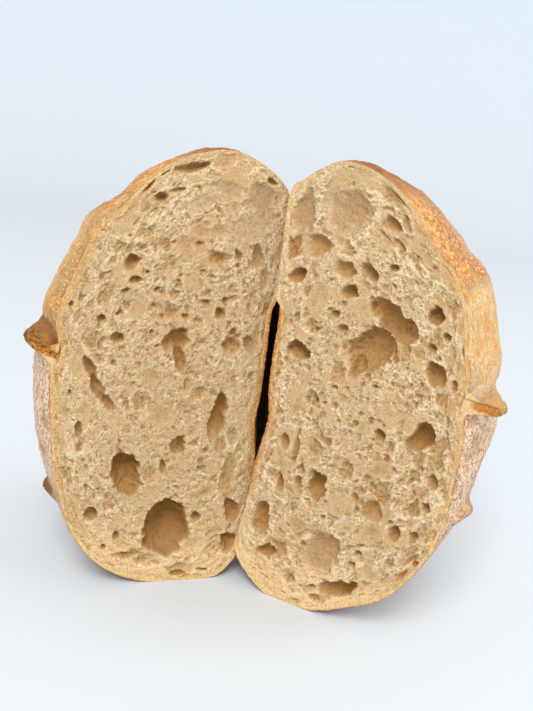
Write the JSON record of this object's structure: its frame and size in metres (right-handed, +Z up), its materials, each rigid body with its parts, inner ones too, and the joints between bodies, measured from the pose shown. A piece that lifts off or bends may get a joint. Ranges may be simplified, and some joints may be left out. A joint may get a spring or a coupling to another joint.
{
  "type": "halved sourdough loaf",
  "caption": "Round crusty loaf of sourdough cut in half, the halves standing bottom to bottom with their open crumb to the front and a torn ear of crust at each side.",
  "frame": {"origin": "middle of the loaf's footprint, on the surface that it stands on", "axes": "+Z up, the cut faces look along -Y, +X runs from the left half to the right half"},
  "size_m": [0.2493, 0.1607, 0.2406],
  "materials": {
    "left_half": "baked crust, floured, with a pale matte crumb at the cut",
    "right_half": "baked crust, floured, with a pale matte crumb at the cut"
  },
  "bodies": {
    "root": {"left_half": "left_half", "right_half": "right_half"}
  },
  "joints": []
}
